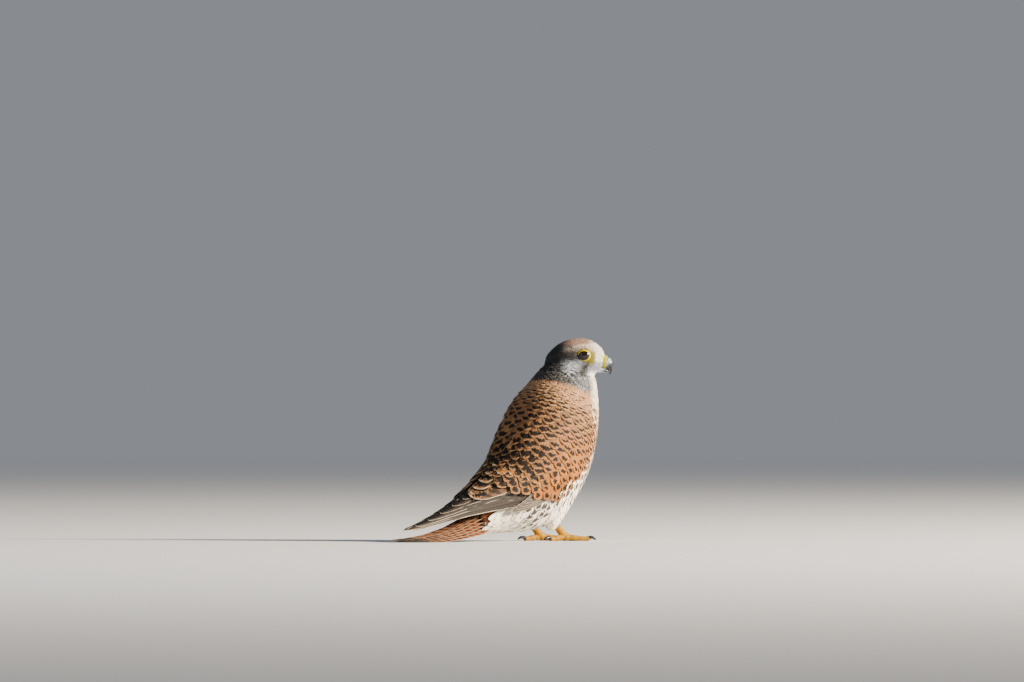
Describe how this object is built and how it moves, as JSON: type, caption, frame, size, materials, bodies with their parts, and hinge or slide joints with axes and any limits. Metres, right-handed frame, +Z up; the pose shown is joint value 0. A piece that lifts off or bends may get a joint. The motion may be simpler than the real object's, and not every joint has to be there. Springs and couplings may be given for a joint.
{
  "type": "life-size museum model of a common kestrel",
  "caption": "Life-size still model of a small falcon standing upright with folded wings, its head turned to its right and its tail resting on the floor.",
  "frame": {"origin": "middle of the bounding box at floor level; the feet stand about 69 mm forward of it, towards -Y", "axes": "+Z up, the bird faces -Y and its tail points to +Y, +X is its left side"},
  "size_m": [0.088, 0.2436, 0.1882],
  "materials": {
    "head_feathers": "soft buff-grey feathers with fine dark streaks",
    "neck_feathers": "soft buff-brown feathers with dark streaks",
    "body_feathers": "soft cream feathers with dark drops, chestnut along the back",
    "covert_feathers": "chestnut feathers with dark bars",
    "flight_feathers": "dark brown vanes with pale edges",
    "tail_feathers": "rufous vanes with dark bars and a pale tip",
    "eye": "wet dark brown",
    "cere_skin": "smooth waxy yellow skin",
    "foot_scales": "scaly yellow skin",
    "horn": "polished blue-grey horn, black at the point"
  },
  "bodies": {
    "root": {"head": "head_feathers", "neck": "neck_feathers", "trunk": "body_feathers", "eye_left": "eye", "eye_right": "eye", "cere": "cere_skin", "upper_bill": "horn", "lower_bill": "horn", "wing_left": "covert_feathers", "primaries_left": "flight_feathers", "wing_right": "covert_feathers", "primaries_right": "flight_feathers", "tail": "tail_feathers", "thigh_left": "body_feathers", "tarsus_left": "foot_scales", "toe_middle_left": "foot_scales", "claw_middle_left": "horn", "toe_inner_left": "foot_scales", "claw_inner_left": "horn", "toe_outer_left": "foot_scales", "claw_outer_left": "horn", "toe_hind_left": "foot_scales", "claw_hind_left": "horn", "thigh_right": "body_feathers", "tarsus_right": "foot_scales", "toe_middle_right": "foot_scales", "claw_middle_right": "horn", "toe_inner_right": "foot_scales", "claw_inner_right": "horn", "toe_outer_right": "foot_scales", "claw_outer_right": "horn", "toe_hind_right": "foot_scales", "claw_hind_right": "horn"}
  },
  "joints": []
}
